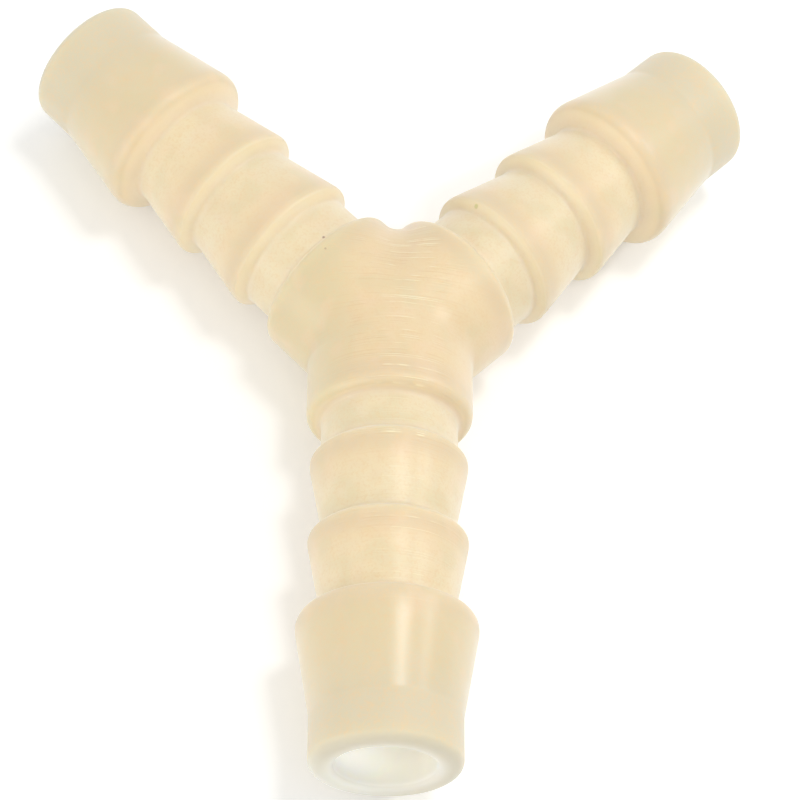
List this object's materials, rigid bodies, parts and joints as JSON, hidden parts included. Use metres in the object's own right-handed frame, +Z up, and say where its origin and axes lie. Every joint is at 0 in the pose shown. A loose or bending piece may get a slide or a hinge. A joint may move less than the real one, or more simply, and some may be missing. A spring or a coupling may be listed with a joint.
{
  "type": "tubing y connector",
  "caption": "One-piece plastic Y connector with barbed legs, which splits or joins a line of soft tubing.",
  "frame": {"origin": "bottom centre of the part's box; the part lies on the crests of its end barbs, with the axes of its legs 7 mm up", "axes": "+Z up, square to the plane of the legs; -Y along the stem towards its mouth; the arms fork off on either side of +Y"},
  "size_m": [0.0606, 0.0678, 0.014],
  "materials": {
    "moulding": "satin"
  },
  "bodies": {
    "root": {"y_connector": "moulding"}
  },
  "joints": []
}
